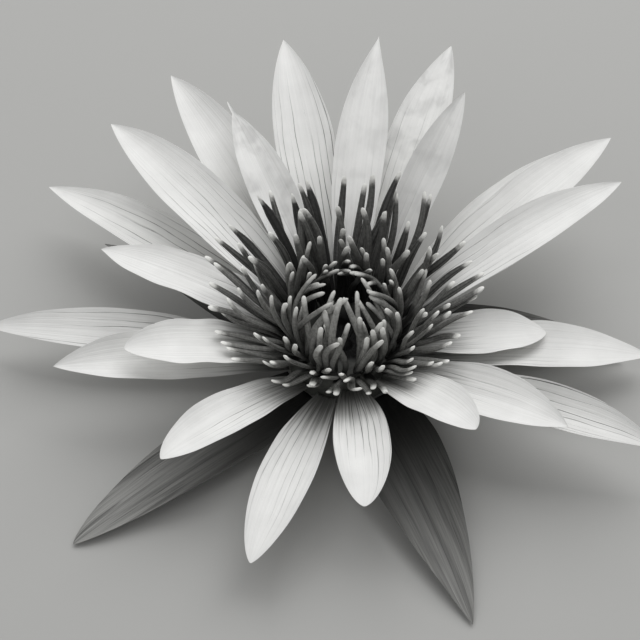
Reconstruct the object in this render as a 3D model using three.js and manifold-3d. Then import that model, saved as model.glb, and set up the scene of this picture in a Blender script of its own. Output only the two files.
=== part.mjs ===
// Open water lily flower, picked and set down on a flat surface.
// Millimetres and degrees, +Z up, origin in the middle of the flat scar where the stalk was cut.
// Seen from the front, the viewer looks along +Y with +X to the right.
import * as THREE from "three";
import { mergeVertices } from "three/addons/utils/BufferGeometryUtils.js";
import Module from "manifold-3d";

const wasm = await Module();
wasm.setup();

// ---- receptacle, ovary and stigma, grown as one piece ----
const scarRadius = 6.5;
const neckRadius = 8.2;
const waistRadius = 11.0;
const ovaryRadius = 13.5;
const ovaryTop = 14.4;
const rimRadius = 7.3;
const stigmaFloor = 11.8;
const stigmaRadius = 5.8;
const knobRadius = 1.3;
const knobHeight = 1.6;

// ---- blades: petals and sepals ----
const petalRoot = 14.2;
const firstPetalHeight = 6.6;
const rankStep = 1.5;
const petalThickness = 0.9;
const sepalRoot = 12.6;
const sepalHeight = 4.2;
const sepalThickness = 1.3;
const bladeRows = 8;
const bladeColumns = 5;
const walkSteps = 48;

// rank: how far up the receptacle a petal grows. azimuth: its direction round the axis.
// rise and bend: slope at the root and its change to the tip. sweep: sideways turn to the tip.
// roll lifts the left edge, seen from the axis. cup: half the angle that the blade curls through.
// widest: the widest place along the length. foot: width at the root as a share of the greatest.
// taper: 1 runs straight to the tip, 2 stays full. blunt: 1 is a sharp tip, 0.5 a round one.
const petals = [
  { rank: 0, azimuth: 46, rise: 19, bend: -12, length: 69, width: 13.5 },
  { rank: 0, azimuth: 333, rise: 16, bend: -16, length: 68, width: 15.6, cup: 46 },
  { rank: 0, azimuth: 175, rise: 11, bend: -16, length: 74, width: 13.0, cup: 22, roll: -8 },
  { rank: 1, azimuth: 71.5, rise: 30, bend: -18, length: 78.5, width: 15.5 },
  { rank: 1, azimuth: 39, rise: 26, bend: -18, length: 75.5, width: 15.0, widest: 0.62 },
  { rank: 1, azimuth: 117.3, rise: 25.2, bend: -20, length: 80, width: 15.2, sweep: 4.5, roll: -14 },
  { rank: 1, azimuth: 145, rise: 15, bend: -20, length: 78, width: 15.4, cup: 38 },
  { rank: 1, azimuth: 252, rise: 13, bend: -20, length: 56, width: 13.5, blunt: 0.72 },
  { rank: 1, azimuth: 1.5, rise: 7, bend: -16, length: 60, width: 15.5, sweep: -2, cup: 24 },
  { rank: 2, azimuth: 100.5, rise: 31, bend: -18, length: 76, width: 15.8 },
  { rank: 2, azimuth: 327, rise: 22, bend: -20, length: 48, width: 15.0, roll: 8 },
  { rank: 2, azimuth: 226, rise: 23, bend: -20, length: 48, width: 13.5, blunt: 0.68 },
  { rank: 2, azimuth: 194, rise: 23, bend: -20, length: 58, width: 14.5, roll: -18 },
  { rank: 3, azimuth: 133, rise: 22, bend: -20, length: 74.5, width: 16.4, cup: 38, roll: -6 },
  { rank: 3, azimuth: 87, rise: 33.8, bend: -20, length: 74, width: 13.4, sweep: -8, roll: 6, blunt: 1.25 },
  { rank: 3, azimuth: 277, rise: 21, bend: -20, length: 44, width: 14.0, sweep: -8, blunt: 0.58 },
  { rank: 3, azimuth: 4.5, rise: 8.5, bend: -17, length: 35, width: 15.0, sweep: 3, cup: 22, blunt: 0.7 },
  { rank: 4, azimuth: 28, rise: 27, bend: -20, length: 66, width: 14.0, roll: 6 },
  { rank: 4, azimuth: 64, rise: 35, bend: -20, length: 61, width: 10.5, roll: 15 },
  { rank: 4, azimuth: 305, rise: 33, bend: -20, length: 40, width: 14.0, blunt: 0.6 },
  { rank: 4, azimuth: 196, rise: 29, bend: -20, length: 42, width: 14.5, blunt: 0.6, roll: -6 },
  { rank: 4, azimuth: 158, rise: 18, bend: -18, length: 51, width: 14.5 },
  { rank: 4, azimuth: 114.8, rise: 31, bend: -20, length: 60, width: 12.0, roll: -10 },
];
const sepals = [
  { azimuth: 220, rise: 2, bend: -9.5, length: 69.5, width: 19.0, taper: 1.9, blunt: 0.76 },
  { azimuth: 294, rise: 1.5, bend: -8.5, length: 68.5, width: 22.0, sweep: -8.5, taper: 1.5, blunt: 0.9 },
  { azimuth: 24, rise: 3.6, bend: -12.5, length: 59, width: 19.0, sweep: -49, roll: 2, taper: 1.25 },
  { azimuth: 80, rise: 4.5, bend: -15, length: 68, width: 19.0 },
  { azimuth: 146.8, rise: 12, bend: -18, length: 60, width: 15.5 },
];
const petalDefaults = {
  sweep: 0, roll: 0, cup: 32, widest: 0.56, foot: 0.36, taper: 2, blunt: 0.93,
};
const sepalDefaults = {
  sweep: 0, roll: 0, cup: 26, widest: 0.25, foot: 0.72, taper: 1.4, blunt: 1,
};

// ---- stamens, grown in five rings on the shoulder of the ovary ----
const padBottom = 14.7;
const padTop = 15.5;
const padGap = 0.35;
const stamenWidth = 1.25;
const stamenThickness = 0.75;
const stamenSides = 4;
// A bundle is a short arc of the shoulder with the stamens of one or two rings on it.
// backRise is added to the rise towards the back of the flower. backStretch is the share of length
// that stamens gain at its back and lose at its front.
const bundleRings = [
  {
    name: "outer",
    bundles: 10,
    inner: 11.5,
    outer: 14.0,
    rows: [
      {
        perBundle: 5, radius: 13.3, rise: 30, backRise: 17, bend: 8,
        length: 21.5, backStretch: 0.4,
      },
      {
        perBundle: 4, radius: 12.1, rise: 44, backRise: 14, bend: 14,
        length: 19.5, backStretch: 0.24,
      },
    ],
  },
  {
    name: "middle",
    bundles: 10,
    inner: 8.9,
    outer: 11.15,
    rows: [
      {
        perBundle: 3, radius: 10.7, rise: 55, backRise: 4, bend: 24,
        length: 18, backStretch: 0.1,
      },
      {
        perBundle: 3, radius: 9.4, rise: 70, backRise: 2, bend: 28,
        length: 16, backStretch: 0.03,
      },
    ],
  },
  {
    name: "inner",
    bundles: 7,
    inner: 7.5,
    outer: 8.55,
    rows: [
      {
        perBundle: 4, radius: 8.0, rise: 70, backRise: 0, bend: 56,
        length: 18, backStretch: 0,
      },
    ],
  },
];

const colours = {
  petal: 0xf1efe9,
  sepal: 0x5f6158,
  stamen: 0x8a877c,
  receptacle: 0x6c6e60,
};

function material(colour) {
  return new THREE.MeshStandardMaterial({ color: colour, roughness: 0.6, metalness: 0 });
}

function radians(degrees) {
  return THREE.MathUtils.degToRad(degrees);
}

// Frames along a line that starts on the receptacle and turns evenly to its tip.
function walk(root, height, shape, rows) {
  const start = radians(shape.azimuth);
  const point = new THREE.Vector3(root * Math.cos(start), root * Math.sin(start), height);
  const stride = shape.length / walkSteps;
  const frames = [];
  for (let step = 0; step <= walkSteps; step += 1) {
    const share = step / walkSteps;
    if (step % (walkSteps / rows) === 0) {
      frames.push(frameAt(point, shape, share));
    }
    const next = directionAt(shape, share + 0.5 / walkSteps);
    point.addScaledVector(next, stride);
  }
  return frames;
}

function directionAt(shape, share) {
  const rise = radians(shape.rise + shape.bend * share);
  const heading = radians(shape.azimuth + shape.sweep * share);
  const level = Math.cos(rise);
  return new THREE.Vector3(level * Math.cos(heading), level * Math.sin(heading), Math.sin(rise));
}

function frameAt(point, shape, share) {
  const along = directionAt(shape, share);
  const heading = radians(shape.azimuth + shape.sweep * share);
  const side = new THREE.Vector3(-Math.sin(heading), Math.cos(heading), 0);
  side.applyAxisAngle(along, radians(shape.roll));
  const normal = new THREE.Vector3().crossVectors(along, side);
  return { share, point: point.clone(), side, normal };
}

// Half width as a share of the greatest: narrow root, full belly, pointed or rounded tip.
function outline(share, { widest, foot, taper, blunt }) {
  if (share < widest) {
    const swell = Math.sin((Math.PI / 2) * (share / widest));
    return foot + (1 - foot) * swell;
  }
  const fall = (share - widest) / (1 - widest);
  return (1 - fall ** taper) ** blunt;
}

// Joins rings of equal count into one closed skin. The last ring closes on a single tip point,
// and the first on its own points, paired across the ring.
function closedSkin(rings, tip) {
  const count = rings[0].length;
  const corners = rings.flat();
  const faces = [];
  for (let row = 0; row + 1 < rings.length; row += 1) {
    for (let k = 0; k < count; k += 1) {
      const a = row * count + k;
      const b = row * count + ((k + 1) % count);
      faces.push(a, b, b + count, a, b + count, a + count);
    }
  }
  const last = (rings.length - 1) * count;
  for (let k = 0; k < count; k += 1) {
    faces.push(last + k, last + ((k + 1) % count), corners.length);
  }
  for (let k = 1; k < count / 2; k += 1) {
    faces.push(k - 1, count - k, k);
    if (k < count - k - 1) {
      faces.push(count - k, count - k - 1, k);
    }
  }
  corners.push(tip);
  const geometry = new THREE.BufferGeometry();
  const positions = corners.flatMap((corner) => corner.toArray());
  geometry.setAttribute("position", new THREE.Float32BufferAttribute(positions, 3));
  geometry.setIndex(faces);
  return geometry;
}

// A blade is a curled leaf shape, thickest along its middle and sharp at its edges.
function bladeGeometry(root, height, thickness, shape) {
  const curl = radians(shape.cup);
  const frames = walk(root, height, shape, bladeRows);
  const rings = frames.slice(0, -1).map(({ share, point, side, normal }) => {
    const half = (shape.width / 2) * outline(share, shape);
    const upper = [];
    const lower = [];
    for (let column = 0; column < bladeColumns; column += 1) {
      const across = (2 * column) / (bladeColumns - 1) - 1;
      const lateral = (half * Math.sin(curl * across)) / curl;
      const lift = (half * (1 - Math.cos(curl * across))) / curl;
      const top = point.clone().addScaledVector(side, lateral).addScaledVector(normal, lift);
      upper.push(top);
      if (column > 0 && column < bladeColumns - 1) {
        const depth = thickness * Math.sqrt(1 - across ** 2);
        lower.unshift(top.clone().addScaledVector(normal, -depth));
      }
    }
    return [...upper, ...lower].reverse();
  });
  return closedSkin(rings, frames.at(-1).point);
}

// A stamen is a flat tapering strap with a rounded end.
function stamenGeometry(root, shape) {
  const frames = walk(root, (padBottom + padTop) / 2, shape, 8);
  const rings = [0, 3, 6, 7].map((index) => {
    const { share, point, side, normal } = frames[index];
    const narrow = 1 - 0.3 * share ** 2;
    const ring = [];
    for (let k = 0; k < stamenSides; k += 1) {
      const turn = (2 * Math.PI * (k + 0.5)) / stamenSides;
      const lateral = Math.cos(turn) * stamenWidth * Math.SQRT1_2 * narrow;
      const lift = Math.sin(turn) * stamenThickness * Math.SQRT1_2 * narrow;
      ring.push(point.clone().addScaledVector(side, lateral).addScaledVector(normal, lift));
    }
    return ring;
  });
  return closedSkin(rings, frames.at(-1).point);
}

// A short arc of the ovary's shoulder that a bundle of stamens grows from.
function padGeometry(inner, outer, from, to) {
  const outlineShape = new THREE.Shape();
  outlineShape.absarc(0, 0, outer, from, to, false);
  outlineShape.absarc(0, 0, inner, to, from, true);
  const pad = new THREE.ExtrudeGeometry(outlineShape, {
    depth: padTop - padBottom,
    bevelEnabled: false,
    curveSegments: 4,
  });
  pad.translate(0, 0, padBottom);
  return pad;
}

function toSolid(geometry) {
  const bare = geometry.clone();
  bare.deleteAttribute("normal");
  bare.deleteAttribute("uv");
  const merged = mergeVertices(bare, 1e-4);
  const triVerts = new Uint32Array(merged.index.array);
  const vertProperties = new Float32Array(merged.attributes.position.array);
  return new wasm.Manifold(new wasm.Mesh({ numProp: 3, vertProperties, triVerts }));
}

function toGeometry(solid) {
  const mesh = solid.getMesh();
  const geometry = new THREE.BufferGeometry();
  geometry.setAttribute("position", new THREE.Float32BufferAttribute(mesh.vertProperties, 3));
  geometry.setIndex(Array.from(mesh.triVerts));
  return geometry;
}

function bundleGeometry(ring, index) {
  const sector = 360 / ring.bundles;
  const middle = index * sector;
  const reach = sector / 2;
  const slack = THREE.MathUtils.radToDeg(padGap / 2 / ring.inner);
  const from = radians(middle - reach + slack);
  const to = radians(middle + reach - slack);
  let solid = toSolid(padGeometry(ring.inner, ring.outer, from, to));
  for (const row of ring.rows) {
    const pitch = sector / row.perBundle;
    for (let k = 0; k < row.perBundle; k += 1) {
      const azimuth = middle + (k - (row.perBundle - 1) / 2) * pitch;
      const back = Math.sin(radians(azimuth));
      const rise = row.rise + row.backRise * Math.max(0, back);
      const length = row.length * (1 + row.backStretch * back);
      const shape = { ...row, azimuth, rise, length, sweep: 0, roll: 0 };
      solid = solid.add(toSolid(stamenGeometry(row.radius, shape)));
    }
  }
  return toGeometry(solid);
}

function receptacleGeometry() {
  const profile = [
    [0, 0],
    [scarRadius, 0],
    [neckRadius, 1.2],
    [waistRadius, 3.4],
    [ovaryRadius, 6.0],
    [ovaryRadius, ovaryTop],
    [rimRadius, ovaryTop],
    [rimRadius - 0.5, ovaryTop + 0.5],
    [stigmaRadius, stigmaFloor + 0.6],
    [knobRadius + 0.8, stigmaFloor],
    [knobRadius, stigmaFloor + knobHeight * 0.6],
    [0, stigmaFloor + knobHeight],
  ].map(([radius, height]) => new THREE.Vector2(radius, height));
  return new THREE.LatheGeometry(profile, 32).rotateX(Math.PI / 2);
}

const flower = new THREE.Group();

function addPiece(name, geometry, finish) {
  const piece = new THREE.Mesh(geometry, finish);
  piece.name = name;
  flower.add(piece);
}

addPiece("receptacle", receptacleGeometry(), material(colours.receptacle));

petals.forEach((petal, index) => {
  const shape = { ...petalDefaults, ...petal };
  const height = firstPetalHeight + rankStep * petal.rank;
  const name = `petal_${String(index + 1).padStart(2, "0")}`;
  addPiece(name, bladeGeometry(petalRoot, height, petalThickness, shape), material(colours.petal));
});

sepals.forEach((sepal, index) => {
  const shape = { ...sepalDefaults, ...sepal };
  const geometry = bladeGeometry(sepalRoot, sepalHeight, sepalThickness, shape);
  addPiece(`sepal_${index + 1}`, geometry, material(colours.sepal));
});

for (const ring of bundleRings) {
  for (let index = 0; index < ring.bundles; index += 1) {
    const name = `${ring.name}_stamens_${String(index + 1).padStart(2, "0")}`;
    addPiece(name, bundleGeometry(ring, index), material(colours.stamen));
  }
}

export default flower;
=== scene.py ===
import math
from functools import partial

import bpy
import numpy as np
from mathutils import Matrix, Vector


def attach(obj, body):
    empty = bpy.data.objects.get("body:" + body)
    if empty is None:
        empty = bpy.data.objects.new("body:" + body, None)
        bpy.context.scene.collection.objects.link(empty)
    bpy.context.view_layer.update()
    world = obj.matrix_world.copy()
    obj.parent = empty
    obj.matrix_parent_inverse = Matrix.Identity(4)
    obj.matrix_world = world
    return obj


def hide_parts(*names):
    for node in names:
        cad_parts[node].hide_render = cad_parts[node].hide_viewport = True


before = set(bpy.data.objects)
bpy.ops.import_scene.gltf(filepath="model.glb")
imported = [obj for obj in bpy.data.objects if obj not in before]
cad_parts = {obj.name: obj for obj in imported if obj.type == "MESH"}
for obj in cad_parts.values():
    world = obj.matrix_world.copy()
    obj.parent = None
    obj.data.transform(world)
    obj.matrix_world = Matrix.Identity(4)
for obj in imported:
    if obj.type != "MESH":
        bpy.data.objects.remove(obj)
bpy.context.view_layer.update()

mm = 0.001
degree = math.pi / 180
scene = bpy.context.scene
print("stage: frame loaded,", len(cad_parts), "nodes")

# settings that many nodes share
smooth = {"interpolation_type": "SMOOTHSTEP"}
multiply = {"operation": "MULTIPLY"}
multiplyAdd = {"operation": "MULTIPLY_ADD"}
subtract = {"operation": "SUBTRACT"}
largest = {"operation": "MAXIMUM"}
absolute = {"operation": "ABSOLUTE"}
sine = {"operation": "SINE"}
pingPong = {"operation": "PINGPONG"}  # against 0.5 it gives the distance from the nearest whole number
scaled = {"operation": "SCALE"}
twoColours = {"data_type": "RGBA"}  # inputs 6 and 7 are the colours, and output 2 is their mix
onPoints = {"domain": "POINT"}
falling = {"To Min": 1.0, "To Max": 0.0}
mostNoise = {"From Min": 0.3, "From Max": 0.7}  # nearly all of a noise texture's values


def linearColour(hexText):
    # sRGB hex to the linear values that shaders work in
    channels = [int(hexText[k:k + 2], 16) / 255 for k in (0, 2, 4)]
    linear = [c / 12.92 if c <= 0.04045 else ((c + 0.055) / 1.055) ** 2.4 for c in channels]
    return (*linear, 1.0)


def addNode(tree, kind, inputs={}, settings={}):
    # kind: a shader node, where it names no other sort
    # inputs: socket name or number -> a plain value, an output socket, or a node for its first output
    node = tree.nodes.new(kind if "Node" in kind else "ShaderNode" + kind)
    for name, value in settings.items():
        setattr(node, name, value)
    for key, value in inputs.items():
        if isinstance(value, bpy.types.Node):
            value = value.outputs[0]
        if isinstance(value, bpy.types.NodeSocket):
            tree.links.new(value, node.inputs[key])
        else:
            node.inputs[key].default_value = value
    return node


def span(side, ends, unit=1):
    # the two ends of a range node's From or To side
    return {side + " Min": ends[0] * unit, side + " Max": ends[1] * unit}


def newMaterial(name):
    # a material, and addNode for its own tree
    material = bpy.data.materials.new(name)
    material.use_nodes = True
    material.node_tree.nodes.clear()
    return material, partial(addNode, material.node_tree)


def ownValues(add, prefix, labels):
    # the values that a piece's mesh carries for its finish
    return {label: add("Attribute", {}, {"attribute_name": prefix + label}).outputs["Fac"]
            for label in labels}


tissueIor = 1.42  # of moist plant cells


def closeTissue(add, look, colour, height):
    # the end of every plant tissue: a skin with its own relief
    bump = add("Bump", {"Height": height, "Strength": look["bump"], "Distance": look["bumpDepth"] * mm})
    skin = add("BsdfPrincipled", {
        "Base Color": colour, "Roughness": look["roughness"], "IOR": tissueIor, "Normal": bump,
        **look.get("inside", {})})
    add("OutputMaterial", {"Surface": skin})


def addObject(name, data):
    thing = bpy.data.objects.new(name, data)
    scene.collection.objects.link(thing)
    return thing


def solidPiece(name, places, faces, material):
    # a smooth piece from its points in millimetres
    mesh = bpy.data.meshes.new(name)
    mesh.from_pydata((places * mm).tolist(), [], faces)
    mesh.validate()
    mesh.polygons.foreach_set("use_smooth", [True] * len(mesh.polygons))
    mesh.materials.append(material)
    return addObject(name, mesh)


def finishPiece(piece, nodeNames):
    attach(piece, "root")
    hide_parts(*nodeNames)


# camera: 46 degrees above the horizon, as the photo looks down on the flower
photoView = {
    "elevation": 46,  # degrees
    "distance": 0.620,  # from the middle of the flower
    "hub": (0.0, 0.0, 0.016),
    "hubPixel": (345, 333),  # where the hub lies in the 640 x 640 frame
    "frameSize": 640,
    "metresPerPixel": 0.00024,  # at the hub
    "sensor": 36.0,  # mm
    "clip": (0.01, 20),
}


def placeCamera(view):
    tilt = math.radians(view["elevation"])
    ahead = Vector((0, math.cos(tilt), -math.sin(tilt)))
    upward = Vector((0, math.sin(tilt), math.cos(tilt)))
    middle = view["frameSize"] / 2
    shiftRight = (view["hubPixel"][0] - middle) * view["metresPerPixel"]
    shiftUp = (middle - view["hubPixel"][1]) * view["metresPerPixel"]
    place = Vector(view["hub"]) - ahead * view["distance"]
    place = place - Vector((shiftRight, 0, 0)) - upward * shiftUp
    lens = bpy.data.cameras.new("photoCamera")
    lens.sensor_width = view["sensor"]
    lens.lens = view["sensor"] * view["distance"] / (view["frameSize"] * view["metresPerPixel"])
    lens.clip_start, lens.clip_end = view["clip"]
    camera = addObject("photoCamera", lens)
    camera.location = place
    camera.rotation_euler = (math.pi / 2 - tilt, 0, 0)
    scene.camera = camera


placeCamera(photoView)
print("stage: camera placed")


# Petals and sepals carry a map: its x counts vein spacings from the middle line, its y centimetres from the
# root. A grain is how many grains lie in each unit of x and of y; a noise, the values between which it acts.
petalFinish = {
    "lit": "f0f0ee",  # clean white tissue
    "root": "71716e",  # where it meets the stamens: its own grey tint, deepened with painted shade from the stamens above
    "shadedRootEnds": (-1.0, 0.8),  # cm from the root: where the dark root and its painted shade end, before its streaks
    "rootStreaks": 2.4,  # cm that the streaks of the dark root reach out
    "streakGrain": (3.2, 0.3),
    "streakNoise": (0.35, 0.65),
    "streakTone": 0.055,  # how much darker the finest streaks are
    "vein": "484846",
    "veinHalfWidth": 0.09,  # as a share of the spacing: 0.15 mm
    "veinStrength": 0.95,
    "faintestVein": 0.35,
    "veinEnds": (0.45, 1.05),  # share of the length, for the shortest and the longest vein
    "veinReach": (0.65, 0.35),  # how much of that a petal without veins has, and what full veins add
    "veinFade": 0.5,  # share of its own length at which a vein begins to fade
    "wander": 0.55,  # how far a vein strays to each side, as a share of the spacing
    "wanderGrain": 0.55,
    "patchGrain": 1.7,
    "patchNoise": (0.35, 0.6),
    "patchTone": 0.45,  # what is left of a vein in its faint places
    "mottleSize": 9.0,  # mm
    "mottleTone": 0.90,
    "smudgeGrain": (0.35, 1.6),
    "smudgeNoise": (0.45, 0.75),
    "smudgeStrength": 0.16,
    "ridgeGrain": (4.2, 0.25),
    "bump": 0.25,
    "bumpDepth": 0.4,  # mm
    "roughness": 0.48,
    "inside": {
        "Subsurface Weight": 0.12, "Subsurface Radius": (1.0, 1.0, 1.0), "Subsurface Scale": 0.6 * mm},
}


def bladePlace(add, seed):
    # a blade's map, and the same with its seed as height, so that no two blades share a pattern
    bladeMap = add("UVMap", {}, {"uv_map": "bladeMap"})
    split = add("SeparateXYZ", {"Vector": bladeMap}).outputs
    return split, add("CombineXYZ", {"X": split["X"], "Y": split["Y"], "Z": seed})


def longGrain(add, place, grain, detail, distortion=0.0):
    # noise drawn out along a blade
    drawn = add("Mapping", {"Vector": place, "Scale": (*grain, 1.0)})
    return add("TexNoise", {"Vector": drawn, "Scale": 1.0, "Detail": detail, "Distortion": distortion})


def petalVeins(add, look, own, split, place):
    # veins lie at whole numbers across the map, and wander a little on their way
    wave = add("TexNoise", {"Vector": place, "Scale": look["wanderGrain"], "Detail": 1.0})
    stray = add("MapRange", {"Value": wave, "To Min": -look["wander"], "To Max": look["wander"]})
    lane = add("Math", {0: split["X"], 1: stray})
    distance = add("Math", {0: lane, 1: 0.5}, pingPong)
    line = add("MapRange", {"Value": distance, "From Max": look["veinHalfWidth"], **falling}, smooth)
    # each vein has its own strength and fades at its own place
    number = add("Math", {0: lane}, {"operation": "ROUND"})
    key = add("Math", {0: own["Seed"], 1: 37.0, 2: number}, multiplyAdd)  # 37 keeps petals apart
    chance = add("TexWhiteNoise", {"W": key}, {"noise_dimensions": "1D"})
    fadeEnd = add("MapRange", {"Value": chance, **span("To", look["veinEnds"])})
    reach = add("Math", {0: own["Veins"], 1: look["veinReach"][1], 2: look["veinReach"][0]}, multiplyAdd)
    ownEnd = add("Math", {0: fadeEnd, 1: reach}, multiply)
    fadeStart = add("Math", {0: ownEnd, 1: look["veinFade"]}, multiply)
    digits = add("Math", {0: chance, 1: 7.3}, multiply)  # whose fraction is a chance of its own
    secondChance = add("Math", {0: digits}, {"operation": "FRACT"})
    strength = add("MapRange", {"Value": secondChance, "To Min": look["faintestVein"]})
    fade = add("MapRange", {
        "Value": own["Along"], "From Min": fadeStart, "From Max": ownEnd, "To Min": strength,
        "To Max": 0.0}, smooth)
    patchy = add("TexNoise", {"Vector": place, "Scale": look["patchGrain"], "Detail": 2.0})
    patches = add("MapRange", {
        "Value": patchy, **span("From", look["patchNoise"]), "To Min": look["patchTone"]})
    for factor in (fade, patches, own["Veins"], look["veinStrength"]):
        line = add("Math", {0: line, 1: factor}, multiply)
    return line


def petalMaterial():
    # Water lily petal: thin waxy tissue. It looks bright white and softly satin, with fine dark veins that
    # run from the root and fade towards the tip.
    material, add = newMaterial("waxyPetalTissue")
    look = petalFinish
    own = ownValues(add, "blade", ("Along", "Seed", "Veins", "Tone", "Smudges"))
    split, place = bladePlace(add, own["Seed"])
    veins = petalVeins(add, look, own, split, place)
    # the dark root, its own tint deepened with painted shade from the stamens, runs out in fine streaks
    streaks = longGrain(add, place, look["streakGrain"], 3.0)
    ragged = add("Math", {0: streaks, 1: -look["rootStreaks"], 2: split["Y"]}, multiplyAdd)
    shadedRoot = add("MapRange", {"Value": ragged, **span("From", look["shadedRootEnds"]), **falling}, smooth)
    tissue = add("Mix", {
        0: shadedRoot, 6: linearColour(look["lit"]), 7: linearColour(look["root"])}, twoColours)
    # soft clouds of slightly darker tissue, smudges and fine streaks
    coordinates = add("TexCoord").outputs["Object"]
    clouds = add("TexNoise", {"Vector": coordinates, "Scale": 1 / (look["mottleSize"] * mm), "Detail": 3.0})
    cloudTone = add("MapRange", {"Value": clouds, **mostNoise, "To Min": look["mottleTone"]})
    smudges = add("MapRange", {
        "Value": longGrain(add, place, look["smudgeGrain"], 2.0, 0.4),
        **span("From", look["smudgeNoise"]), "To Max": look["smudgeStrength"]}, smooth)
    ownSmudges = add("Math", {0: smudges, 1: own["Smudges"]}, multiply)
    tone = add("Math", {0: cloudTone, 1: ownSmudges}, subtract)
    streakTone = add("MapRange", {
        "Value": streaks, **span("From", look["streakNoise"]), "To Min": 1.0 - look["streakTone"]})
    # each petal's own brightness is painted light and shade
    for factor in (streakTone, own["Tone"]):
        tone = add("Math", {0: tone, 1: factor}, multiply)
    toned = add("VectorMath", {0: tissue.outputs[2], "Scale": tone}, scaled)
    coloured = add("Mix", {0: veins, 6: toned, 7: linearColour(look["vein"])}, twoColours)
    # fine ridges along the petal, and shallow grooves over the veins
    ridges = longGrain(add, place, look["ridgeGrain"], 3.0)
    relief = add("Math", {0: ridges, 1: veins}, subtract)
    closeTissue(add, look, coloured.outputs[2], relief)
    return material


sepalFinish = {
    "dark": "1b1b1a",
    # from mid at the root to pale at the tip: painted shade beneath the petals that lifts tipward
    "mid": "4e4e4c",
    "pale": "989895",
    "paleFrom": 0.2,  # share of the length from which it turns paler, out of the painted shade beneath the petals
    "streakLength": 30.0,  # mm
    "streakWidth": 1.3,  # mm
    "streakNoise": (0.3, 0.6),
    "streakShade": 0.5,
    "fibreCount": (4, 1.6),  # fibres for each streak, across and along
    "fibreTones": (0.72, 1.18),
    "veinHalfWidth": 0.09,  # as a share of the spacing
    "veinShade": 0.85,
    "veinNoise": (0.42, 0.55),
    "veinLeft": 0.1,  # what is left of a vein outside the streaks
    # how dark the painted shadow of the petals is at the root
    "rootShade": 0.8,
    "shadedRootEnds": (0.05, 0.45),  # share of the length over which the painted shadow at the root fades
    "bump": 0.3,
    "bumpDepth": 0.6,  # mm
    "roughness": 0.5,
}


def sepalMaterial():
    # Water lily sepal: thicker, leathery tissue. It looks dark and satin, with long soft uneven streaks: its
    # own dark tint, deepened towards the root with painted shade beneath the petals, and paler towards the
    # tip.
    material, add = newMaterial("leatherySepalTissue")
    look = sepalFinish
    own = ownValues(add, "blade", ("Along", "Seed", "Tone"))
    split, place = bladePlace(add, own["Seed"])
    across = sepalBasis["veinSpacing"] / look["streakWidth"]
    along = 10 / look["streakLength"]
    streaks = longGrain(add, place, (across, along), 2.0, 0.3)
    fibres = longGrain(add, place, (across * look["fibreCount"][0], along * look["fibreCount"][1]), 3.0)
    fibreTone = add("MapRange", {"Value": fibres, **mostNoise, **span("To", look["fibreTones"])})
    # paler towards the tip, as the painted shade beneath the petals lifts
    tipward = add("MapRange", {"Value": own["Along"], "From Min": look["paleFrom"]}, smooth)
    ground = add("Mix", {
        0: tipward, 6: linearColour(look["mid"]), 7: linearColour(look["pale"])}, twoColours)
    # each sepal's own brightness is painted shade
    tone = add("Math", {0: fibreTone, 1: own["Tone"]}, multiply)
    toned = add("VectorMath", {0: ground.outputs[2], "Scale": tone}, scaled)
    # a few thin dark veins, mostly within the streaks
    distance = add("Math", {0: split["X"], 1: 0.5}, pingPong)
    line = add("MapRange", {
        "Value": distance, "From Max": look["veinHalfWidth"], "To Min": look["veinShade"],
        "To Max": 0.0}, smooth)
    kept = add("MapRange", {
        "Value": streaks, **span("From", look["veinNoise"]), "To Min": 1.0,
        "To Max": look["veinLeft"]}, smooth)
    veins = add("Math", {0: line, 1: kept}, multiply)
    # the darkest of streaks, veins and the painted shadow at the root shows
    shade = add("MapRange", {
        "Value": streaks, **span("From", look["streakNoise"]), "To Min": look["streakShade"],
        "To Max": 0.0}, smooth)
    shadedRoot = add("MapRange", {
        "Value": own["Along"], **span("From", look["shadedRootEnds"]), "To Min": look["rootShade"],
        "To Max": 0.0}, smooth)
    for other in (veins, shadedRoot):
        shade = add("Math", {0: shade, 1: other}, largest)
    coloured = add("Mix", {0: shade, 6: toned, 7: linearColour(look["dark"])}, twoColours)
    relief = add("Math", {0: fibres, 1: streaks})
    closeTissue(add, look, coloured.outputs[2], relief)
    return material


stamenFinish = {
    "shaft": "7c7c79",
    "darkAndShadow": "1d1d1c",  # between the pollen sacs, and painted shade at the foot and on the inner side
    "tip": "f0f0ec",
    "tipEnds": (0.4, 3.0),  # mm from the end, between which the pale tip turns into the shaft
    "sacsEnd": (2.2, 3.4),  # mm from the end, between which the pollen sacs begin
    "slimSacs": 0.4,  # how dark the sacs of a slim stamen are, as a share of a broad one's
    "broadFrom": 0.15,  # extra breadth from which a stamen is a broad one
    "speckleSize": 1.1,  # mm
    "speckle": 0.05,  # how ragged each border is, as a share of the length
    "tipSpeckle": 20,  # mm of length that this share counts for at the tip
    "wrinkleSize": 0.7,  # mm
    "wrinkleTones": (0.7, 1.3),
    "footEnd": 0.4,  # share of the length at which the painted shade at the foot ends
    "footShade": 0.8,
    "insideShade": 0.92,
    "insideFade": 0.22,  # share of the length over which the painted shade on the inner side fades
    "lines": 2.2,  # dark lines to each side of the middle
    "lineHalfWidth": 0.22,  # as a share of their spacing
    "lineShade": 0.6,
    "bump": 0.5,
    "bumpDepth": 0.3,  # mm
    "roughness": 0.55,
}


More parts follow.
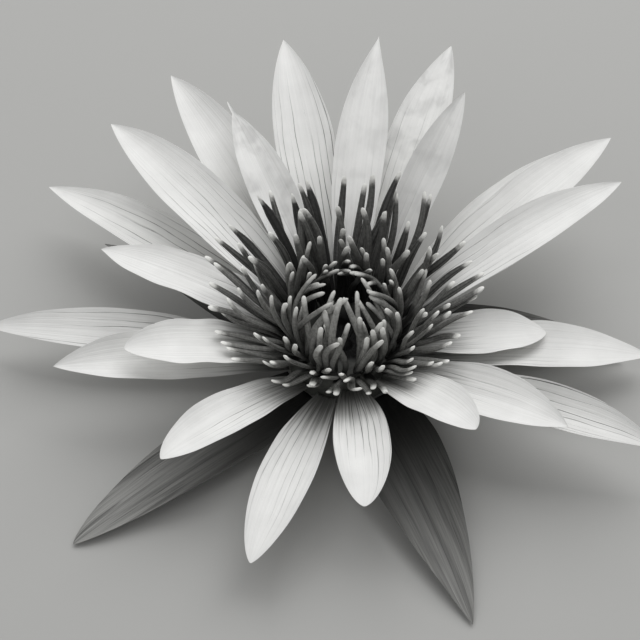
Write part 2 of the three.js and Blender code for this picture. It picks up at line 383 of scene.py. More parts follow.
def stamenMaterial(name, grooveStrength, insideShadeEnd, tipStrength):
    # Water lily stamen: fleshy strap with two pollen sacs. It looks mid grey and matt, dark along the sacs,
    # with painted shade at its foot and low down on its inner side, and ends in a smooth pale tip.
    material, add = newMaterial(name)
    look = stamenFinish
    own = ownValues(add, "stamen", ("Along", "Groove", "Tone", "FromTip", "Inside", "Across", "Breadth"))
    coordinates = add("TexCoord").outputs["Object"]
    speckle, wrinkles = [
        add("TexNoise", {"Vector": coordinates, "Scale": 1 / (look[size] * mm), "Detail": detail})
        for size, detail in (("speckleSize", 2.0), ("wrinkleSize", 3.0))]
    uneven = add("MapRange", {"Value": speckle, "To Min": -look["speckle"], "To Max": look["speckle"]})
    place = add("Math", {0: own["Along"], 1: uneven})
    # painted shade at the foot, where the stamens crowd together
    footShadow = add("MapRange", {
        "Value": place, "From Max": look["footEnd"], "To Min": look["footShade"], "To Max": 0.0}, smooth)
    shaft = add("Mix", {
        0: footShadow, 6: linearColour(look["shaft"]), 7: linearColour(look["darkAndShadow"])}, twoColours)
    wrinkleTone = add("MapRange", {"Value": wrinkles, **mostNoise, **span("To", look["wrinkleTones"])})
    tone = add("Math", {0: own["Tone"], 1: wrinkleTone}, multiply)
    toned = add("VectorMath", {0: shaft.outputs[2], "Scale": tone}, scaled)
    # pollen sacs and fine lines, which end before the tip
    unevenTip = add("Math", {0: uneven, 1: look["tipSpeckle"] * mm, 2: own["FromTip"]}, multiplyAdd)
    sacsEnd = add("MapRange", {
        "Value": unevenTip, **span("From", look["sacsEnd"], mm), "To Max": grooveStrength}, smooth)
    sacDepth = add("MapRange", {
        "Value": own["Breadth"], "From Max": look["broadFrom"], "To Min": look["slimSacs"]})
    ownSacs = add("Math", {0: own["Groove"], 1: sacDepth}, multiply)
    sacs = add("Math", {0: ownSacs, 1: sacsEnd}, multiply)
    lanes = add("Math", {0: own["Across"], 1: look["lines"]}, multiply)
    fromLine = add("Math", {0: lanes, 1: 0.5}, pingPong)
    line = add("MapRange", {
        "Value": fromLine, "From Max": look["lineHalfWidth"], "To Min": look["lineShade"],
        "To Max": 0.0}, smooth)
    lined = add("Math", {0: line, 1: sacsEnd}, multiply)
    # the inner side is dark up to its own height: partly the pollen sacs that face inwards, mostly painted
    # shade down in the well of stamens
    insideShadeRamp = add("MapRange", {
        "Value": place, "From Min": insideShadeEnd - look["insideFade"], "From Max": insideShadeEnd,
        "To Min": look["insideShade"], "To Max": 0.0}, smooth)
    insideShadow = add("Math", {0: own["Inside"], 1: insideShadeRamp}, multiply)
    shade = sacs
    for other in (lined, insideShadow):
        shade = add("Math", {0: shade, 1: other}, largest)
    shaded = add("Mix", {0: shade, 6: toned, 7: linearColour(look["darkAndShadow"])}, twoColours)
    tipward = add("MapRange", {
        "Value": unevenTip, **span("From", look["tipEnds"], mm), "To Min": tipStrength,
        "To Max": 0.0}, smooth)
    coloured = add("Mix", {0: tipward, 6: shaded.outputs[2], 7: linearColour(look["tip"])}, twoColours)
    closeTissue(add, look, coloured.outputs[2], wrinkles)
    return material


receptacleFinish = {
    "skin": "4a4b47",
    # nearly black: painted shadow down in the stigma cup
    "darkAndShadow": "060606",
    "scar": "8f8f88",
    "scarEdge": (0.3, 0.6),  # mm above the ground
    "cupEdge": (7.5, 9.5),  # mm from the axis, inside which the painted shadow fills the cup
    "cupFloor": 10,  # mm above the ground, below which nothing is in the cup
    "fibreSize": 1.6,  # mm
    "fibreTones": (0.7, 1.2),
    "bump": 0.3,
    "bumpDepth": 0.4,  # mm
    "roughness": 0.6,
}


def receptacleMaterial():
    # Water lily receptacle: firm green tissue that narrows to the stalk. It looks dark and matt, with painted
    # shadow nearly black down in the stigma cup, and paler and fibrous where it was cut.
    material, add = newMaterial("receptacleTissue")
    look = receptacleFinish
    coordinates = add("TexCoord").outputs["Object"]
    fibres = add("TexNoise", {"Vector": coordinates, "Scale": 1 / (look["fibreSize"] * mm), "Detail": 4.0})
    tone = add("MapRange", {"Value": fibres, **mostNoise, **span("To", look["fibreTones"])})
    split = add("SeparateXYZ", {"Vector": coordinates}).outputs
    cut = add("MapRange", {"Value": split["Z"], **span("From", look["scarEdge"], mm), **falling})
    flat = add("CombineXYZ", {"X": split["X"], "Y": split["Y"]})
    fromAxis = add("VectorMath", {0: flat}, {"operation": "LENGTH"})
    # painted shadow inside the stigma cup, above its floor
    cup = add("MapRange", {
        "Value": fromAxis.outputs["Value"], **span("From", look["cupEdge"], mm), **falling})
    above = add("Math", {0: split["Z"], 1: look["cupFloor"] * mm}, {"operation": "GREATER_THAN"})
    cupShadow = add("Math", {0: cup, 1: above}, multiply)
    upper = add("Mix", {0: cupShadow, 6: linearColour(look["skin"]), 7: linearColour(look["darkAndShadow"])}, twoColours)
    whole = add("Mix", {0: cut, 6: upper.outputs[2], 7: linearColour(look["scar"])}, twoColours)
    coloured = add("VectorMath", {0: whole.outputs[2], "Scale": tone}, scaled)
    closeTissue(add, look, coloured, fibres)
    return material


# Every petal and sepal, with what sets it apart from the basis below. Angles are degrees, lengths mm.
# A tone below 1 is painted shade on the whole blade, and one above 1 painted light.
petals = [
    dict(rank=0, azimuth=46, rise=19, bend=-12, length=69, width=13.5),
    dict(rank=0, azimuth=333, rise=16, bend=-16, length=68, width=15.6, cup=46, crease=0.5, veins=2.2,
         tone=0.88),
    dict(rank=0, azimuth=175, rise=11, bend=-16, length=74, width=13.0, cup=22, roll=-8, veins=1.4,
         tone=0.84),
    dict(rank=1, azimuth=71.5, rise=30, bend=-18, length=78.5, width=15.5, smudges=1.2),
    dict(rank=1, azimuth=39, rise=26, bend=-18, length=75.5, width=15.0, widest=0.62, veins=0.8),
    dict(rank=1, azimuth=117.3, rise=25.2, length=80, width=15.2, sweep=4.5, roll=-14, veins=0.5),
    dict(rank=1, azimuth=145, rise=15, length=78, width=15.4, cup=38, veins=1.3),
    dict(rank=1, azimuth=252, rise=13, length=56, width=13.5, blunt=0.72, veins=1.1),
    dict(rank=1, azimuth=1.5, rise=7, bend=-16, length=60, width=15.5, sweep=-2, cup=24, veins=0.6,
         ripple=0.6),
    dict(rank=2, azimuth=100.5, rise=31, bend=-18, length=76, width=15.8, veins=1.8),
    dict(rank=2, azimuth=327, rise=22, length=48, width=15.0, roll=8, veins=0.6),
    dict(rank=2, azimuth=226, rise=23, length=48, width=13.5, blunt=0.68),
    dict(rank=2, azimuth=194, rise=23, length=58, width=14.5, roll=-18, veins=0.6, ripple=0.7),
    dict(rank=3, azimuth=133, rise=22, length=74.5, width=16.4, cup=38, roll=-6, veins=1.1),
    dict(rank=3, azimuth=87, rise=33.8, length=74, width=13.4, sweep=-8, roll=6, blunt=1.25, veins=0.35,
         smudges=0.6),
    dict(rank=3, azimuth=277, rise=21, length=44, width=14.0, sweep=-8, blunt=0.58, veins=1.4),
    dict(rank=3, azimuth=4.5, rise=8.5, bend=-17, length=35, width=15.0, sweep=3, cup=22, blunt=0.7,
         veins=0.3, tone=1.08),
    dict(rank=4, azimuth=28, rise=27, length=66, width=14.0, roll=6, veins=0.9),
    dict(rank=4, azimuth=64, rise=35, length=61, width=10.5, roll=15, veins=0.3, tone=0.86, smudges=0.8),
    dict(rank=4, azimuth=305, rise=33, length=40, width=14.0, blunt=0.6, veins=0.3),
    dict(rank=4, azimuth=196, rise=29, length=42, width=14.5, blunt=0.6, roll=-6, veins=0.3, ripple=0.7),
    dict(rank=4, azimuth=158, rise=18, bend=-18, length=51, width=14.5, veins=0.6, ripple=0.9),
    dict(rank=4, azimuth=114.8, rise=31, length=60, width=12.0, roll=-10, veins=0.3, ripple=0.8, smudges=1.3,
         nib=0.055),
]
sepals = [
    dict(azimuth=220, rise=2, bend=-9.5, length=69.5, width=19.0, taper=1.9, blunt=0.76),
    dict(azimuth=294, rise=1.5, bend=-8.5, length=68.5, width=22.0, sweep=-8.5, taper=1.5, blunt=0.9,
         tone=0.75),
    dict(azimuth=24, rise=3.6, bend=-12.5, length=59, width=19.0, sweep=-49, roll=2, taper=1.25),
    dict(azimuth=80, rise=4.5, bend=-15, length=68, width=19.0),
    dict(azimuth=146.8, rise=12, bend=-18, length=60, width=15.5),
]
petalBasis = {
    "root": 14.2,  # distance of the root from the flower's axis
    "firstHeight": 6.6,  # height of the root in the lowest rank
    "rankStep": 1.5,  # how much higher each rank grows
    "bend": -20,  # how far the blade tips down on its way, from the rise at its root
    "sweep": 0,  # how far it turns aside on its way
    "roll": 0,  # how far it leans over to one side
    "cup": 32,  # how far each half curls up
    "thickness": 0.55,
    "widest": 0.56,  # share of the length at which it is widest
    "foot": 0.36,  # width of the root, as a share of the greatest
    "taper": 2,  # above 1: stays broad for longer before the tip
    "blunt": 0.93,  # below 1: a rounder tip
    "nib": 0,  # length of the thin point at the tip, as a share of the whole
    "crease": 0.25,  # depth of the fold along the middle
    "ripple": 0.35,  # height of the waves in its edges
    "veinSpacing": 1.7,
    "ribHeight": 0.05,
    "parallel": 0.35,  # 0: veins follow the outline, 1: veins keep their spacing
    "veins": 1,  # strength
    "smudges": 0,  # strength
    "tone": 1,  # brightness: painted light and shade on the whole blade
}
sepalBasis = {
    **petalBasis, "root": 12.6, "firstHeight": 4.2, "rankStep": 0, "rank": 0, "cup": 26, "thickness": 1.1,
    "widest": 0.25, "foot": 0.72, "taper": 1.4, "blunt": 1, "crease": 0.2, "ripple": 0.3,
    "veinSpacing": 2.3, "ribHeight": 0.03, "parallel": 0.75,
}
petalTissue = petalMaterial()
sepalTissue = sepalMaterial()
# how dark the sacs are, up to which share of the length the inner side carries painted shade, and how pale
# the tip is
stamenTissues = {
    "outer": stamenMaterial("outerStamenTissue", 0.95, 0.4, 1.0),
    "middle": stamenMaterial("middleStamenTissue", 0.5, 0.62, 0.8),
    "inner": stamenMaterial("innerStamenTissue", 0.4, 0.92, 0.55),
}
receptacleTissue = receptacleMaterial()
print("stage: materials made")


bladeForm = {
    "rows": 90,
    "columns": 45,
    "spineSteps": 480,
    "tipCrowding": 1.35,  # above 1: rows stand closer together at the tip
    "edgeCrowding": 0.92,  # towards 1: columns stand closer together at the edges
    "edgeWander": 0.03,  # how uneven each edge is, as a share of the half width
    "edgeWaves": 1.3,
    "rippleWaves": 2.2,
    "creaseWidth": 0.14,  # of the half width
    "nibWidth": 0.07,  # of the greatest width
    "tipThinning": 1.3,  # less the share of the length: what is left of the thickness
}


def bladeOutline(share, shape):
    # half width as a share of the greatest: narrow root, full belly, pointed or rounded tip
    body = 1 - shape["nib"]
    ahead = np.clip((share - body) / max(shape["nib"], 0.01), 0, 1)
    nib = np.where(share > body - shape["nib"], bladeForm["nibWidth"] * np.sqrt(1 - ahead ** 2), 0)
    share = np.minimum(share / body, 1)
    rise = shape["foot"] + (1 - shape["foot"]) * np.sin(np.pi / 2 * np.minimum(share / shape["widest"], 1))
    fall = np.clip((share - shape["widest"]) / (1 - shape["widest"]), 0, 1)
    blade = np.where(share < shape["widest"], rise, (1 - fall ** shape["taper"]) ** shape["blunt"])
    return np.maximum(blade, nib) if shape["nib"] else blade


def directions(shape, share):
    rise = np.radians(shape["rise"] + shape["bend"] * share)
    heading = np.radians(shape["azimuth"] + shape["sweep"] * share)
    level = np.cos(rise)
    return np.stack([level * np.cos(heading), level * np.sin(heading), np.sin(rise)], 1)


def spine(shape, share):
    # the middle line of a blade, walked in small steps from its root, in millimetres
    steps = bladeForm["spineSteps"]
    start = math.radians(shape["azimuth"])
    height = shape["firstHeight"] + shape["rankStep"] * shape["rank"]
    root = np.array([shape["root"] * math.cos(start), shape["root"] * math.sin(start), height])
    strides = directions(shape, (np.arange(steps) + 0.5) / steps) * shape["length"] / steps
    places = np.vstack([root, root + np.cumsum(strides, 0)])
    knots = np.linspace(0, 1, steps + 1)
    return np.stack([np.interp(share, knots, places[:, k]) for k in range(3)], 1)


def bladeFrames(shape, share):
    # which way is sideways, and which way is out of the upper face, along a blade
    along = directions(shape, share)
    heading = np.radians(shape["azimuth"] + shape["sweep"] * share)
    level = np.stack([-np.sin(heading), np.cos(heading), np.zeros_like(heading)], 1)
    roll = np.radians(shape["roll"])
    side = level * math.cos(roll) + np.cross(along, level) * math.sin(roll)
    return side, np.cross(along, side)


def slowWave(share, random, waves):
    # a smooth uneven wave from -1 to 1 along a blade
    phase = random.uniform(0, 2 * np.pi, 3)
    first = np.sin(2 * np.pi * waves * share + phase[0])
    second = np.sin(2 * np.pi * waves * 1.9 * share + phase[1])
    third = np.sin(2 * np.pi * waves * 0.6 * share + phase[2])
    return (first + 0.6 * second + 0.8 * third) / 2.4


def bladeFaces(rows, columns):
    # rings of faces along the blade, a fan at its tip and a flat end at its root
    count = 2 * columns - 2
    last = (rows - 1) * count
    faces = []
    for start in range(0, last, count):
        for k in range(count):
            nextK = (k + 1) % count
            faces.append((start + k, start + count + k, start + count + nextK, start + nextK))
    faces += [(last + k, rows * count, last + (k + 1) % count) for k in range(count)]
    faces.append((0, 1, count - 1))
    faces += [(k - 1, k, count - k, count - k + 1) for k in range(2, columns - 1)]
    faces.append((columns - 2, columns - 1, columns))
    return faces


def makeBlade(name, shape, random, material):
    form = bladeForm
    share = 1 - (1 - np.linspace(0, 1, form["rows"] + 1)) ** form["tipCrowding"]
    share = share[:-1]
    spread = form["edgeCrowding"]
    v = np.sin(np.linspace(-np.pi / 2, np.pi / 2, form["columns"]) * spread) / math.sin(np.pi / 2 * spread)
    v = v[None, :]  # from edge to edge, -1 to 1
    centre = spine(shape, share)
    side, normal = bladeFrames(shape, share)
    half = shape["width"] / 2 * bladeOutline(share, shape)
    curl = math.radians(shape["cup"])
    # one wave for each edge: first its outline, then its height
    uneven = [1 + form["edgeWander"] * slowWave(share, random, form["edgeWaves"]) for _ in range(2)]
    edgeWave = [shape["ripple"] * slowWave(share, random, form["rippleWaves"]) for _ in range(2)]
    reach = half[:, None] * np.where(v < 0, uneven[0][:, None], uneven[1][:, None])
    lateral = reach * np.sin(curl * v) / curl
    lift = reach * (1 - np.cos(curl * v)) / curl
    calm = np.sin(np.pi * np.clip(share, 0, 1)) ** 0.5  # nothing at both ends
    lift = lift + np.where(v < 0, edgeWave[0][:, None], edgeWave[1][:, None]) * v ** 2 * calm[:, None]
    fanned = v * shape["width"] / 2
    lane = (fanned + (lateral - fanned) * shape["parallel"]) / shape["veinSpacing"]
    ribFade = (1 - share[:, None]) * (1 - v ** 4)
    lift = lift - shape["ribHeight"] * np.cos(2 * np.pi * lane) * ribFade
    fold = np.exp(-(v / form["creaseWidth"]) ** 2)
    lift = lift - shape["crease"] * fold * (1 - share[:, None]) * calm[:, None]
    upper = centre[:, None] + side[:, None] * lateral[..., None] + normal[:, None] * lift[..., None]
    thinning = np.minimum(1, form["tipThinning"] - share[:, None])
    depth = shape["thickness"] * np.sqrt(1 - v ** 4) * thinning
    lower = upper - normal[:, None] * depth[..., None]
    rings = np.concatenate([upper, lower[:, -2:0:-1]], 1)
    places = np.vstack([rings.reshape(-1, 3), spine(shape, np.array([1.0]))])
    piece = solidPiece(name, places, bladeFaces(form["rows"], form["columns"]), material)
    mesh = piece.data
    laneAll = np.append(np.concatenate([lane, lane[:, -2:0:-1]], 1), 0.0)
    alongAll = np.append(np.repeat(share, rings.shape[1]), 1.0)
    corners = np.empty(len(mesh.loops), dtype=np.int32)
    mesh.loops.foreach_get("vertex_index", corners)
    uv = np.stack([laneAll[corners], alongAll[corners] * shape["length"] / 10], 1)
    mesh.uv_layers.new(name="bladeMap").data.foreach_set("uv", uv.ravel())
    for label, value in (
        ("Along", alongAll), ("Seed", random.uniform(0, 20)), ("Veins", shape["veins"]),
        ("Tone", shape["tone"]), ("Smudges", shape["smudges"]),
    ):
        values = np.full(len(places), value, np.float32)
        mesh.attributes.new("blade" + label, "FLOAT", "POINT").data.foreach_set("value", values)
    return piece


for index, petal in enumerate(petals, 1):
    random = np.random.default_rng(100 + index)
    blade = makeBlade(f"petal{index:02d}", {**petalBasis, **petal}, random, petalTissue)
    finishPiece(blade, [f"petal_{index:02d}"])
for index, sepal in enumerate(sepals, 1):
    random = np.random.default_rng(200 + index)
    blade = makeBlade(f"sepal{index}", {**sepalBasis, **sepal}, random, sepalTissue)
    finishPiece(blade, [f"sepal_{index}"])
print("stage: petals and sepals made")


# Stamens: one Geometry Nodes tree, used for each ring. rise, backRise, bend, sway and scatter are degrees,
# and the sizes millimetres. backRise and backWidth are added towards the back of the ring, backWidth as a
# share. backStretch is the share of length added at its back and taken off at its front. unevenness is how
# far a stamen may stand off its even place, in spacings. rise and bend beyond 90 together lead it inwards.
stamenRings = {
    "outer": [
        dict(count=50, radius=13.5, height=14.6, rise=28, backRise=19, bend=8, length=21.5, backStretch=0.42,
             width=1.8, backWidth=0.25, thickness=0.9, unevenness=0.5, sway=24, scatter=8, seed=11),
        dict(count=40, radius=12.7, height=14.8, rise=42, backRise=16, bend=14, length=19.5, backStretch=0.24,
             width=1.75, backWidth=0.16, thickness=1.0, unevenness=0.5, sway=30, scatter=9, seed=12),
    ],
    "middle": [
        dict(count=30, radius=11.9, height=14.9, rise=57, backRise=4, bend=26, length=17.5, backStretch=0.10,
             width=1.7, backWidth=0.0, thickness=1.3, unevenness=0.55, sway=40, scatter=10, seed=13),
        dict(count=30, radius=11.5, height=14.9, rise=74, backRise=2, bend=34, length=16.0, backStretch=0.03,
             width=1.6, backWidth=0.0, thickness=1.35, unevenness=0.55, sway=40, scatter=10, seed=14),
    ],
    "inner": [
        dict(count=28, radius=12.0, height=14.6, rise=72, backRise=0, bend=76, length=19.0, backStretch=0.0,
             width=1.6, backWidth=0.0, thickness=1.35, unevenness=0.35, sway=32, scatter=8, seed=24),
    ],
}
# the tree's inputs: name, kind of number, the entry of a ring that fills it, and its unit
stamenInputs = [
    ("Stamens", "Int", "count", 1),
    ("Ring radius", "Float", "radius", mm),
    ("Root height", "Float", "height", mm),
    ("Rise", "Float", "rise", degree),
    ("Back rise", "Float", "backRise", degree),
    ("Bend", "Float", "bend", degree),
    ("Length", "Float", "length", mm),
    ("Back stretch", "Float", "backStretch", 1),
    ("Width", "Float", "width", mm),
    ("Back width", "Float", "backWidth", 1),
    ("Thickness", "Float", "thickness", mm),
    ("Unevenness", "Float", "unevenness", 1),
    ("Sway", "Float", "sway", degree),
    ("Scatter", "Float", "scatter", degree),
    ("Seed", "Int", "seed", 1),
]
stamenForm = {
    "points": 14,  # along each stamen
    "sides": 12,
    "seedStep": 100.0,  # between the chances of one ring
    "lengthScatter": 0.12,
    "girthScatter": 0.12,
    "sideBow": 0.7,  # mm
    "upBow": 0.6,  # mm
    "tones": (0.8, 1.25),
    "backTone": -0.32,  # painted shade added at the back of the ring, and taken off at its front as painted light
    "broadTone": -1.6,  # painted shade added for each unit of extra breadth
    "grooveAt": 0.45,  # from the middle, as a share of the half width
    "grooveHalfWidth": 0.35,
    "grooveDepth": 0.3,
    "topFrom": 0.1,  # where the upper side begins, as a share of the half thickness
    "insideEnds": (-0.3, 0.4),  # the same, between which the painted shade of the inner side begins
    "footGirth": 0.72,
    "fullFrom": 0.45,  # share of the length from which it has its full girth
    "slimFrom": (0.6, 0.45),  # share of the length from which it slims, and what extra breadth adds
    "slimEnd": 0.98,
    "endGirth": (0.78, -1.1),  # girth just before the end, and what extra breadth adds
    "roundFrom": 0.95,  # share of the length at which the round end begins
    "endRoom": 1.01,  # above 1: the end closes on a tiny flat
}


def stamenValues(add, given):
    # what sets each stamen apart
    form = stamenForm
    index = add("GeometryNodeInputIndex")
    chance = {}
    for k, use in enumerate(("place", "rise", "length", "sway", "lean", "tone", "girth", "dip", "breadth")):
        ownSeed = add("Math", {0: given["Seed"], 1: form["seedStep"] * k})
        chance[use] = add("FunctionNodeRandomValue", {
            "Min": -1.0, "Max": 1.0, "ID": index, "Seed": ownSeed}).outputs[1]
    spacing = add("Math", {0: 2 * math.pi, 1: given["Stamens"]}, {"operation": "DIVIDE"})
    nudged = add("Math", {0: chance["place"], 1: given["Unevenness"], 2: index}, multiplyAdd)
    azimuth = add("Math", {0: nudged, 1: spacing}, multiply)
    back = add("Math", {0: azimuth}, sine)  # 1 at the back of the ring, -1 at its front
    rearward = add("Math", {0: back, 1: 0.0}, largest)
    backRise = add("Math", {0: rearward, 1: given["Back rise"], 2: given["Rise"]}, multiplyAdd)
    rise = add("Math", {0: chance["rise"], 1: given["Scatter"], 2: backRise}, multiplyAdd)
    stretch = add("Math", {0: back, 1: given["Back stretch"], 2: 1.0}, multiplyAdd)
    varied = add("Math", {0: chance["length"], 1: form["lengthScatter"], 2: stretch}, multiplyAdd)
    length = add("Math", {0: given["Length"], 1: varied}, multiply)
    sway = add("Math", {0: chance["sway"], 1: given["Sway"]}, multiply)
    lean = add("Math", {0: chance["lean"], 1: form["sideBow"] * mm}, multiply)
    dip = add("Math", {0: chance["dip"], 1: form["upBow"] * mm}, multiply)
    freeTone = add("MapRange", {
        "Value": chance["tone"], "From Min": -1.0, "From Max": 1.0, **span("To", form["tones"])})
    # the back ones are darker with painted shade, and most of all the broad ones among them
    ownBreadth = add("Math", {0: chance["breadth"], 1: 1.0})
    mostBreadth = add("Math", {0: ownBreadth, 1: given["Back width"]}, multiply)
    breadth = add("Math", {0: back, 1: mostBreadth}, {**multiply, "use_clamp": True})
    toneAndSideShade = add("Math", {0: back, 1: form["backTone"], 2: freeTone}, multiplyAdd)
    broadShadeFactor = add("Math", {0: breadth, 1: form["broadTone"], 2: 1.0}, multiplyAdd)
    tone = add("Math", {0: toneAndSideShade, 1: broadShadeFactor}, multiply)
    ownGirth = add("Math", {0: chance["girth"], 1: form["girthScatter"], 2: 1.0}, multiplyAdd)
    girth = add("Math", {0: ownGirth, 1: breadth})
    return {
        "azimuth": azimuth, "rise": rise, "length": length, "sway": sway, "lean": lean, "dip": dip,
        "stamenTone": tone, "girth": girth, "stamenBreadth": breadth,
    }


def stamenSection(add, given):
    # a rounded strap with two long grooves on its upper side
    form = stamenForm
    ring = add("GeometryNodeCurvePrimitiveCircle", {"Resolution": form["sides"], "Radius": 1.0})
    spot = add("GeometryNodeInputPosition")
    sides = add("SeparateXYZ", {"Vector": spot}).outputs
    aside = add("Math", {0: sides["Y"]}, absolute)
    off = add("Math", {0: aside, 1: form["grooveAt"]}, subtract)
    fromGroove = add("Math", {0: off}, absolute)
    hollow = add("MapRange", {"Value": fromGroove, "From Max": form["grooveHalfWidth"], **falling}, smooth)
    top = add("Math", {0: sides["X"], 1: form["topFrom"]}, {"operation": "GREATER_THAN"})
    groove = add("Math", {0: hollow, 1: top}, multiply)
    inside = add("MapRange", {"Value": sides["X"], **span("From", form["insideEnds"])}, smooth)
    for label, value in (("Groove", groove), ("Inside", inside), ("Across", sides["Y"])):
        ring = add("GeometryNodeStoreNamedAttribute", {
            "Geometry": ring, "Name": "stamen" + label, "Value": value}, onPoints)
    sink = add("Math", {0: groove, 1: -form["grooveDepth"], 2: 1.0}, multiplyAdd)
    high = add("Math", {0: sides["X"], 1: sink}, multiply)
    halfThickness, halfWidth = [
        add("Math", {0: given[size], 1: 0.5}, multiply) for size in ("Thickness", "Width")]
    flat = add("Math", {0: high, 1: halfThickness}, multiply)
    wide = add("Math", {0: sides["Y"], 1: halfWidth}, multiply)
    outline = add("CombineXYZ", {"X": flat, "Y": wide})
    return add("GeometryNodeSetPosition", {"Geometry": ring, "Position": outline})


def stamenGirth(add, own, along):
    # slim foot, full middle, slimmer before a rounded end
    form = stamenForm
    belly = add("MapRange", {
        "Value": along, "From Max": form["fullFrom"], "To Min": form["footGirth"]}, smooth)
    slimStart, endGirth = [
        add("Math", {0: own["stamenBreadth"], 1: form[entry][1], 2: form[entry][0]}, multiplyAdd)
        for entry in ("slimFrom", "endGirth")]
    slim = add("MapRange", {
        "Value": along, "From Min": slimStart, "From Max": form["slimEnd"], "To Min": 1.0,
        "To Max": endGirth}, smooth)
    endShare = add("MapRange", {"Value": along, "From Min": form["roundFrom"]})
    endSquare = add("Math", {0: endShare, 1: 2.0}, {"operation": "POWER"})
    endRest = add("Math", {0: form["endRoom"], 1: endSquare}, subtract)
    end = add("Math", {0: endRest}, {"operation": "SQRT"})
    girth = belly
    for factor in (slim, end, own["girth"]):
        girth = add("Math", {0: girth, 1: factor}, multiply)
    return girth


def stamenTree():
    tree = bpy.data.node_groups.new("stamenRing", "GeometryNodeTree")
    add = partial(addNode, tree)
    for name, kind, _, _ in stamenInputs:
        tree.interface.new_socket(name, in_out="INPUT", socket_type="NodeSocket" + kind)
    tree.interface.new_socket("Finish", in_out="INPUT", socket_type="NodeSocketMaterial")
    tree.interface.new_socket("Geometry", in_out="OUTPUT", socket_type="NodeSocketGeometry")
    given = add("NodeGroupInput").outputs
    values = stamenValues(add, given)
    # one point for each stamen, which carries its values to every point of its middle line
    roots = add("GeometryNodePoints", {"Count": given["Stamens"]})
    for label, value in values.items():
        roots = add("GeometryNodeStoreNamedAttribute", {
            "Geometry": roots, "Name": label, "Value": value}, onPoints)
    line = add("GeometryNodeCurvePrimitiveLine", {"End": (0.0, 0.0, 1.0)})
    fine = add("GeometryNodeResampleCurve", {"Curve": line, "Count": stamenForm["points"]})
    planted = add("GeometryNodeInstanceOnPoints", {"Points": roots, "Instance": fine})
    loose = add("GeometryNodeRealizeInstances", {"Geometry": planted})
    own = {label: add("GeometryNodeInputNamedAttribute", {"Name": label}, {"data_type": "FLOAT"})
           for label in (*values, "stamenAlong") if label != "stamenTone"}
    # along runs from 0 at the root to 1 at the tip, with points closer together towards the round tip
    factor = add("GeometryNodeSplineParameter").outputs["Factor"]
    quarter = add("Math", {0: factor, 1: math.pi / 2}, multiply)
    share = add("Math", {0: quarter}, sine)
    along = own["stamenAlong"]
    remaining = add("Math", {0: 1.0, 1: along}, subtract)
    fromTip = add("Math", {0: remaining, 1: own["length"]}, multiply)
    for label, value in (("stamenAlong", share), ("stamenFromTip", fromTip)):
        loose = add("GeometryNodeStoreNamedAttribute", {
            "Geometry": loose, "Name": label, "Value": value}, onPoints)
    # a stamen turns evenly on its way, so its chord points half as far round as its tip
    halfBend = add("Math", {0: given["Bend"], 1: 0.5}, multiply)
    chordRise = add("Math", {0: halfBend, 1: along, 2: own["rise"]}, multiplyAdd)
    downRise = add("Math", {0: chordRise, 1: -1.0}, multiply)
    chordTurn = add("CombineXYZ", {"Y": downRise, "Z": own["azimuth"]})
    gone = add("Math", {0: own["length"], 1: along}, multiply)
    halfSway = add("Math", {0: own["sway"], 1: 0.5}, multiply)
    drift = add("Math", {0: halfSway, 1: along}, multiply)
    # it also bows to one side and back to the other, sideways and up
    swing = add("Math", {0: along, 1: 2 * math.pi}, multiply)
    swung = add("Math", {0: swing}, sine)
    bowed = add("Math", {0: swung, 1: own["lean"]}, multiply)
    sideways = add("Math", {0: gone, 1: drift, 2: bowed}, multiplyAdd)
    dipped = add("Math", {0: swung, 1: own["dip"]}, multiply)
    local = add("CombineXYZ", {"X": gone, "Y": sideways, "Z": dipped})
    chord = add("FunctionNodeRotateVector", {"Vector": local, "Rotation": chordTurn})
    spoke = add("CombineXYZ", {"X": given["Ring radius"], "Z": given["Root height"]})
    rootTurn = add("CombineXYZ", {"Z": own["azimuth"]})
    root = add("FunctionNodeRotateVector", {"Vector": spoke, "Rotation": rootTurn})
    place = add("VectorMath", {0: root, 1: chord})
    placed = add("GeometryNodeSetPosition", {"Geometry": loose, "Position": place})
    facing = add("FunctionNodeRotateVector", {"Vector": (0.0, 0.0, 1.0), "Rotation": chordTurn})
    faced = add("GeometryNodeSetCurveNormal", {"Curve": placed, "Normal": facing}, {"mode": "FREE"})
    skin = add("GeometryNodeCurveToMesh", {
        "Curve": faced, "Profile Curve": stamenSection(add, given), "Scale": stamenGirth(add, own, along),
        "Fill Caps": True})
    smoothed = add("GeometryNodeSetShadeSmooth", {"Geometry": skin})
    whole = add("GeometryNodeRealizeInstances", {"Geometry": smoothed})
    finished = add("GeometryNodeSetMaterial", {"Geometry": whole, "Material": given["Finish"]})
    add("NodeGroupOutput", {"Geometry": finished})
    return tree


def growStamens(name, tree, ring, finish):
    holder = addObject(name + "Holder", bpy.data.meshes.new(name + "Holder"))
    modifier = holder.modifiers.new("stamenRing", "NODES")
    modifier.node_group = tree
    values = {label: ring[entry] * unit for label, _, entry, unit in stamenInputs}
    values["Finish"] = finish
    for socket in tree.interface.items_tree:
        if socket.in_out == "INPUT":
            modifier[socket.identifier] = values[socket.name]
    bpy.context.view_layer.update()
    evaluated = holder.evaluated_get(bpy.context.evaluated_depsgraph_get())
    mesh = bpy.data.meshes.new_from_object(evaluated)
    bpy.data.objects.remove(holder)
    return mesh


def joinMeshes(name, meshes):
    parts = [addObject(f"{name}Part{k}", mesh) for k, mesh in enumerate(meshes)]
    with bpy.context.temp_override(active_object=parts[0], selected_editable_objects=parts):
        bpy.ops.object.join()
    parts[0].name = name
    return parts[0]


tree = stamenTree()
nodeNames = sorted(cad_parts)
for ringName, rings in stamenRings.items():
    meshes = [growStamens(ringName, tree, ring, stamenTissues[ringName]) for ring in rings]
    piece = joinMeshes(ringName + "Stamens", meshes)
    finishPiece(piece, [n for n in nodeNames if n.startswith(ringName + "_stamens")])
print("stage: stamens grown")


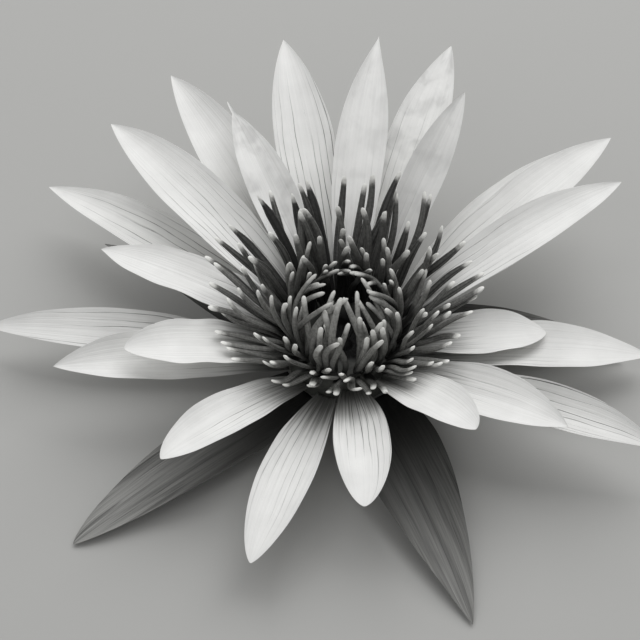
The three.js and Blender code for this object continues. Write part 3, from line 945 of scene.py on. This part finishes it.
# receptacle, ovary and stigma cup
receptacle = {
    "profile": [  # radius and height in mm, from the scar up to the middle of the stigma
        (0, 0), (6.5, 0), (8.2, 1.2), (11.0, 3.4), (13.5, 6.0), (13.9, 10.0), (13.5, 14.4), (10.0, 15.2),
        (7.3, 14.9), (6.6, 14.4), (5.8, 12.6), (2.1, 11.6), (1.3, 12.6), (0, 13.4),
    ],
    "samples": 90,  # along the profile
    "sides": 96,
    "cupFrom": 8,  # the profile point where the stigma cup begins
    "carpels": 18,  # each ends in a ray of the stigma
    "rayHeight": 0.25,  # mm
    "rayFade": 5,  # mm from the axis, within which the rays get lower
}


def makeReceptacle(look, material):
    knots = np.array(look["profile"], float)
    travelled = np.append(0, np.cumsum(np.linalg.norm(np.diff(knots, axis=0), axis=1)))
    samples = np.linspace(0, travelled[-1], look["samples"])[1:-1]
    radius = np.interp(samples, travelled, knots[:, 0])
    height = np.interp(samples, travelled, knots[:, 1])
    turn = np.linspace(0, 2 * np.pi, look["sides"], endpoint=False)
    cup = (samples > travelled[look["cupFrom"]]).astype(float)
    rays = cup[:, None] * look["rayHeight"] * np.cos(look["carpels"] * turn)[None, :]
    rays = rays * np.clip(radius / look["rayFade"], 0, 1)[:, None]
    x = radius[:, None] * np.cos(turn)
    y = radius[:, None] * np.sin(turn)
    z = np.repeat(height[:, None], look["sides"], 1) + rays
    rings = np.stack([x, y, z], 2).reshape(-1, 3)
    places = np.vstack([rings, [0, 0, 0], [0, 0, knots[-1, 1]]])
    count = look["sides"]
    bottom = len(rings)
    last = bottom - count
    faces = []
    for start in range(0, last, count):
        for k in range(count):
            nextK = (k + 1) % count
            faces.append((start + k, start + nextK, start + count + nextK, start + count + k))
    for k in range(count):
        nextK = (k + 1) % count
        faces.append((nextK, k, bottom))
        faces.append((last + k, last + nextK, bottom + 1))
    return solidPiece("receptacleBody", places, faces, material)


finishPiece(makeReceptacle(receptacle, receptacleTissue), ["receptacle"])
print("stage: receptacle made")


studio = {
    "floor": "b2b2b0",
    "floorHalf": 3.0,
    "floorGrain": 60.0,  # for each metre
    "floorRoughness": (0.8, 0.95),
    "floorSpecular": 0.2,
    "world": 0.38,
    "key": dict(place=(0.18, 0.62, 0.95), size=1.3, power=11.5),
    "fill": dict(place=(-0.55, -0.60, 0.55), size=0.9, power=1.0),
    "aim": (0, 0, 0.02),  # what both lamps point at
}


def makeFloor(look):
    # Plain matt paint: pale, with hardly any gloss.
    material, add = newMaterial("paintedFloor")
    coordinates = add("TexCoord").outputs["Object"]
    grain = add("TexNoise", {"Vector": coordinates, "Scale": look["floorGrain"], "Detail": 2.0})
    rough = add("MapRange", {"Value": grain, **span("To", look["floorRoughness"])})
    paint = add("BsdfPrincipled", {
        "Base Color": linearColour(look["floor"]), "Roughness": rough,
        "Specular IOR Level": look["floorSpecular"]})
    add("OutputMaterial", {"Surface": paint})
    half = look["floorHalf"]
    mesh = bpy.data.meshes.new("floor")
    corners = [(-half, -half, 0), (half, -half, 0), (half, half, 0), (-half, half, 0)]
    mesh.from_pydata(corners, [], [(0, 1, 2, 3)])
    mesh.materials.append(material)
    floor = addObject("floor", mesh)


def addLamp(name, lamp):
    light = bpy.data.lights.new(name, "AREA")
    light.size = lamp["size"]
    light.energy = lamp["power"]
    holder = addObject(name, light)
    holder.location = lamp["place"]
    ahead = Vector(studio["aim"]) - Vector(lamp["place"])
    holder.rotation_euler = ahead.to_track_quat("-Z", "Y").to_euler()


makeFloor(studio)
addLamp("keyLight", studio["key"])
addLamp("fillLight", studio["fill"])
world = bpy.data.worlds.new("softRoom")
world.use_nodes = True
sky = world.node_tree.nodes["Background"].inputs
sky["Color"].default_value = linearColour("ffffff")
sky["Strength"].default_value = studio["world"]
scene.world = world
scene.view_settings.view_transform = "Standard"
print("stage: floor and light set")
